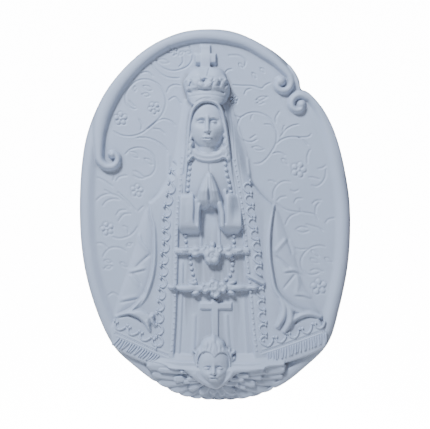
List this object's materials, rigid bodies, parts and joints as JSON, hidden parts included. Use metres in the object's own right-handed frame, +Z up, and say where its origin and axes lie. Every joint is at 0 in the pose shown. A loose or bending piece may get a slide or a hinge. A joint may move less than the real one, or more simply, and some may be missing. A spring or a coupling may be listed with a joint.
{
  "type": "madonna wall plaque",
  "caption": "Oval wall plaque cast in plaster with a crowned, praying madonna in high relief, a cherub below, vine scrollwork on the ground and a flat back to hang on a wall.",
  "frame": {"origin": "on the flat back face, at the middle of the oval", "axes": "+Z up the plaque towards the crown, +Y out of the back into the wall, so the carved front faces -Y, +X to the right as seen from the front"},
  "size_m": [0.2179, 0.0311, 0.2986],
  "materials": {
    "painted_plaster": "matt cool-white paint on cast plaster, soft cast edges"
  },
  "bodies": {
    "root": {"madonna_plaque": "painted_plaster"}
  },
  "joints": []
}
